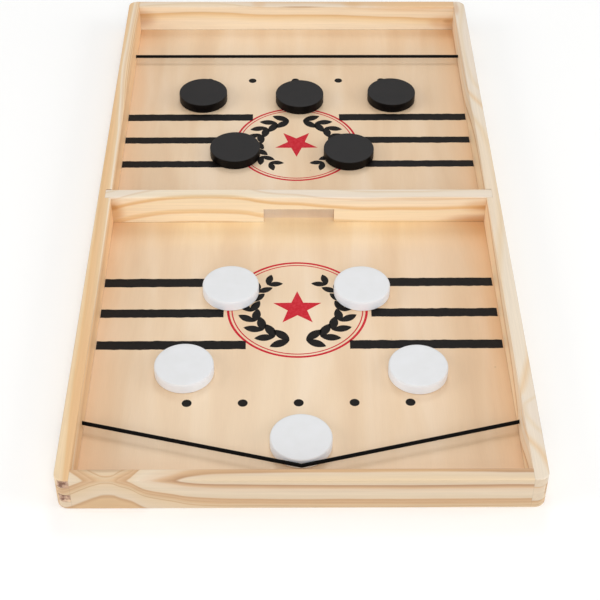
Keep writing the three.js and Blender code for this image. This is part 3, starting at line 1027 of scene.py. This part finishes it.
finishes = {
    "front_rail": pine(
        "pine_front_rail",
        along=0,
        origin=(0, -280, 0),
        slopes=(0, -0.65, 1),
        grain_line=[
            (-150, 7.5), (-140, 12), (-131, 16.8), (-124, 20), (-118, 21.5), (-111, 19),
            (-104, 16), (-99, 11.8), (-95, 9), (-90, 7.2), (-80, 4.8), (-60, 1), (-40, 0.2),
            (150, 0),
        ],
        figure=[
            (-12, "#ddb98e"), (-9.4, "#cba277"), (-7.6, "#e6d0b4"), (1.6, "#e5caa6"),
            (2.6, "#cda57c"), (3.0, "#e0c49f"), (5, "#dbb68c"), (6, "#d0a87f"), (6.6, "#dbb68e"),
            (8.8, "#cda378"), (9.6, "#e6cfb0"), (14, "#e8d4b9"), (18, "#e6cdb0"),
            (19.6, "#d9b38c"), (21.8, "#bb9069"), (22.6, "#e2ccb0"), (24, "#e4ccac"),
            (27, "#eacfa8"),
        ],
        stains_and_shade=[
            ((-120, -271, 26), (22, 3.4, 2), "#a98460", 0.5),
            ((-60, -273, 26), (40, 5, 2), "#e0b98a", 0.3),
            ((40, -272.4, 26), (110, 2.2, 2), "#e6be8c", 0.5),
        ],
        outward=(0, -1, 0),
        inner_painted_gain=((-1, 0), (1, 0)),
        end_tones=("#b9936c", "#d6b48c"),
        seed=3.1,
    ),
    "back_rail": pine(
        "pine_back_rail",
        along=0,
        origin=(0, 270.5, 0),
        slopes=(0, 0.35, 1),
        grain_line=[
            (-150, 0.6), (-141, 1), (-126, 2), (-108, 2.8), (-91, 3), (-66, 2.4), (-46, 1.1),
            (-28, 0.3), (19, 0.2), (39, -0.2), (59, -1), (79, -1.8), (99, -2.3), (109, -3),
            (124, -3.5), (150, -4),
        ],
        figure=[
            (0, "#f2e2c8"), (9, "#f3e1c6"), (13, "#f1dab6"), (15.4, "#eacb9d"), (17.4, "#e1bb8b"),
            (18.4, "#efdabb"), (22, "#f2dec2"), (24.6, "#ecd5b6"), (25.2, "#e4cba9"),
            (25.8, "#e9d6bd"), (27, "#e8d4bc"), (28.4, "#e2c4a0"), (31, "#dfb98f"),
        ],
        stains_and_shade=[
            ((-34, 275, 26), (9, 8, 3), "#dcae78", 0.4),
            ((50, 275, 26), (12, 8, 3), "#dcae78", 0.5),
            ((136, 270.5, 11.4), (6, 3, 2.4), "#8a5a3c", 0.5),
            # Painted shade in the right corner, where the back rail meets the right rail
            ((141, 270.5, 8), (12, 4, 12), "#b9854f", 0.5),
            ((3, 270.5, 26), (26, 2, 1.6), "#b58a60", 0.6),
            # Painted shade in the left corner, where the back rail meets the left rail
            ((-141, 270.5, 14), (20, 3, 12), "#b07b4c", 0.5),
            ((103, 274, 25), (62, 9, 6), "#eac08e", 0.6),
            # Painted shade beside the right corner
            ((131, 270.5, 10), (17, 4, 9), "#d6a575", 0.5),
        ],
        outward=(0, 1, 0),
        inner_painted_gain=((-1, 0), (1, 0)),
        end_tones=("#b08a64", "#d0ac82"),
        seed=7.7,
    ),
    "left_rail": pine(
        "pine_left_rail",
        along=1,
        origin=(-140.5, 0, 26),
        slopes=(-1, 0, 0.6),
        grain_line=[
            (-280, -5), (-253, -4), (-225, -2.6), (-198, -1.6), (-150, -1.2), (-60, -0.3),
            (2, 0.6), (38, 1.2), (79, 1.8), (106, 3), (129, 4.5), (152, 5.6), (184, 6.3),
            (211, 6), (243, 5.1), (280, 4.5),
        ],
        figure=[
            (-20, "#ecc89e"), (-12, "#edcaa0"), (-5.4, "#e4be92"), (-4.7, "#d3a97c"),
            (-4.3, "#efcea6"), (-3.2, "#dfb588"), (-2.9, "#f2d6ae"), (-1.8, "#e6c7a4"),
            (-0.8, "#ecd3b4"), (0.2, "#f0dfc8"), (1.2, "#e9c99e"), (3.5, "#e8c192"),
            (7.2, "#e5bb88"), (8.6, "#eacb9f"), (10, "#edd0a8"), (14, "#eed5ae"),
        ],
        stains_and_shade=[
            ((-150, -277, 26.5), (6, 6, 4), "#e6cba6", 0.9),
            ((-141.5, -280, 7.6), (3.2, 3, 2), "#e0c3a2", 0.8),
            ((-141, -280, 20.4), (2.2, 3, 2), "#cfa98a", 0.7),
            ((-141.8, -190, 27), (5, 110, 4), "#e6b784", 0.65),
            ((-140.4, -180, 21.5), (2, 110, 4), "#f8cc92", 0.6),
        ],
        outward=(-1, 0, 0),
        # Painted light on the inner face, from none at the near end to 0.14 at the middle
        inner_painted_gain=((-180, 0), (0, 0.14)),
        end_tones=("#74503c", "#c4a188"),
        seed=5.3,
    ),
    "right_rail": pine(
        "pine_right_rail",
        along=1,
        origin=(140.5, 0, 0),
        slopes=(0.54, 0, 1),
        grain_line=[
            (-280, 2), (-264, 0), (-246, -4.9), (-232, -10), (-222, -11.6), (-214, -9),
            (-207, -4.6), (-182, -0.3), (-168, 1.4), (-120, 2.4), (-98, 3.2), (-60, 5.8),
            (-19, 8.6), (20, 9), (65, 8), (100, 3.4), (130, -3.6), (160, -9.6), (200, -11),
            (280, -7),
        ],
        figure=[
            (-12, "#e8cca6"), (0, "#eed5b2"), (10, "#efd7b4"), (13, "#dfba90"), (14, "#bd9068"),
            (14.9, "#ebd4b4"), (20, "#ecd9c0"), (22.3, "#e8d0ae"), (24.2, "#eadac4"),
            (28.6, "#eadbc6"), (30.6, "#e6c8a2"), (32.8, "#e9d9c4"), (36, "#e9dac7"),
            (38, "#e6d2b6"), (39.5, "#e9dac8"),
        ],
        stains_and_shade=[
            ((142, 268, 26), (4, 16, 3), "#d0a273", 0.5),
            ((140.5, 66, 26), (1, 70, 1), "#b58a62", 0.5),
        ],
        outward=(1, 0, 0),
        # Painted light on the inner face, 0.13 towards the front and 0.05 at the back
        inner_painted_gain=((-100, 0.13), (250, 0.05)),
        end_tones=("#c9b69e", "#cfbca3"),
        seed=9.2,
    ),
    "gate_bar": pine(
        "pine_gate_bar",
        along=0,
        origin=(0, -5, 0),
        slopes=(0, 0.6, 1),
        grain_line=[
            (-150, -2), (-141, 0), (-126, 4.6), (-113, 7.5), (-103, 9.3), (-92, 10.4),
            (-72, 10.8), (-52, 10.5), (-41, 9.4), (-30, 7.0), (-16, 5), (-1, 4.1), (14, 2.5),
            (34, 0.8), (52, -0.3), (74, -0.2), (96, 0), (121, 0.8), (150, 1.4),
        ],
        figure=[
            (-12, "#e6c599"), (-8, "#dcb584"), (-6.4, "#f2dfbf"), (-0.4, "#f2e0c1"),
            (0.8, "#e5c294"), (3.4, "#ebcfa3"), (5, "#f2dfc0"), (13.4, "#f1debd"),
            (14.9, "#e0b987"), (16.4, "#e7c698"), (18, "#f2dfc2"), (22.4, "#eedec5"),
            (23.6, "#e3cbae"), (24.6, "#ecddca"), (29.4, "#eadbc6"), (30.6, "#e2cdb0"),
            (31.4, "#eadbc8"),
        ],
        stains_and_shade=[
            # The first five marks are painted shade at the bar's two ends, where it meets the side
            # rails
            ((-139.5, -5, 16.5), (5, 3, 4), "#8f5f38", 0.55),
            ((-141, -5, 12), (13, 3, 18), "#c99455", 0.65),
            ((142, -5, 4.6), (40, 3, 7.4), "#bd8450", 0.68),
            ((141, -5, 16), (13, 3, 3.4), "#a97548", 0.5),
            ((138, -5, 17), (20, 3, 9), "#d3a066", 0.45),
            ((100, -5, 25), (60, 2, 2), "#e3bf8e", 0.5),
            ((120, -9.75, 13), (34, 3, 15), "#e6ca9e", 0.45),
        ],
        outward=(0, 0, 0),
        inner_painted_gain=((-1, 0), (1, 0)),
        end_tones=("#b08a64", "#d0ac82"),
        seed=1.4,
    ),
    "play_board": birch_plywood(),
}
for node, material in finishes.items():
    slots = frame["nodes"][node].data.materials
    slots.clear()
    slots.append(material)


# Floor and light

# A pale floor, 8 m square, that glows a little, as a light table does
FLOOR_REACH = 4.0

floor_corners = np.array([(-1, -1, 0), (1, -1, 0), (1, 1, 0), (-1, 1, 0)]) * FLOOR_REACH
floor_mesh = bpy.data.meshes.new("floor")
floor_mesh.from_pydata(floor_corners.tolist(), [], [(0, 1, 2, 3)])
floor = bpy.data.objects.new("floor", floor_mesh)
scene.collection.objects.link(floor)
floor_paint, _, floor_shader, _ = new_material("pale_floor")
floor_shader.inputs["Base Color"].default_value = linear("#f8f8f7")
floor_shader.inputs["Roughness"].default_value = 0.9
floor_shader.inputs["Emission Color"].default_value = linear("#ffffff")
floor_shader.inputs["Emission Strength"].default_value = 0.1
floor_mesh.materials.append(floor_paint)


def area_light(name, place, size, power):
    """A square soft light at a place, in metres, facing the middle of the tray: tilted by the
    angle whose tangent is its distance aside over its height, and turned about the upright."""
    light = bpy.data.lights.new(name, "AREA")
    light.size = size
    light.energy = power
    lamp = bpy.data.objects.new(name, light)
    lamp.location = place
    aim = -np.array(place)
    lamp.rotation_euler = (
        math.atan2(math.hypot(aim[0], aim[1]), -aim[2]),
        0,
        math.atan2(aim[1], aim[0]) - math.pi / 2,
    )
    scene.collection.objects.link(lamp)


# Soft lights from above the front, from the front and from both sides, a small one from behind,
# and white all round
area_light("key_light", place=(0.2, -1.5, 1.9), size=0.75, power=8)
area_light("front_light", place=(0, -2.4, 1.0), size=1.8, power=24)
area_light("left_light", place=(-2.2, -0.4, 1.0), size=1.4, power=16)
area_light("right_light", place=(2.2, -0.4, 1.0), size=1.4, power=16)
area_light("back_light", place=(0.1, 1.1, 1.5), size=0.6, power=5.5)

world = bpy.data.worlds.new("studio")
scene.world = world
world.use_nodes = True
backdrop = world.node_tree.nodes["Background"]
backdrop.inputs["Color"].default_value = linear("#ffffff")
backdrop.inputs["Strength"].default_value = 0.44
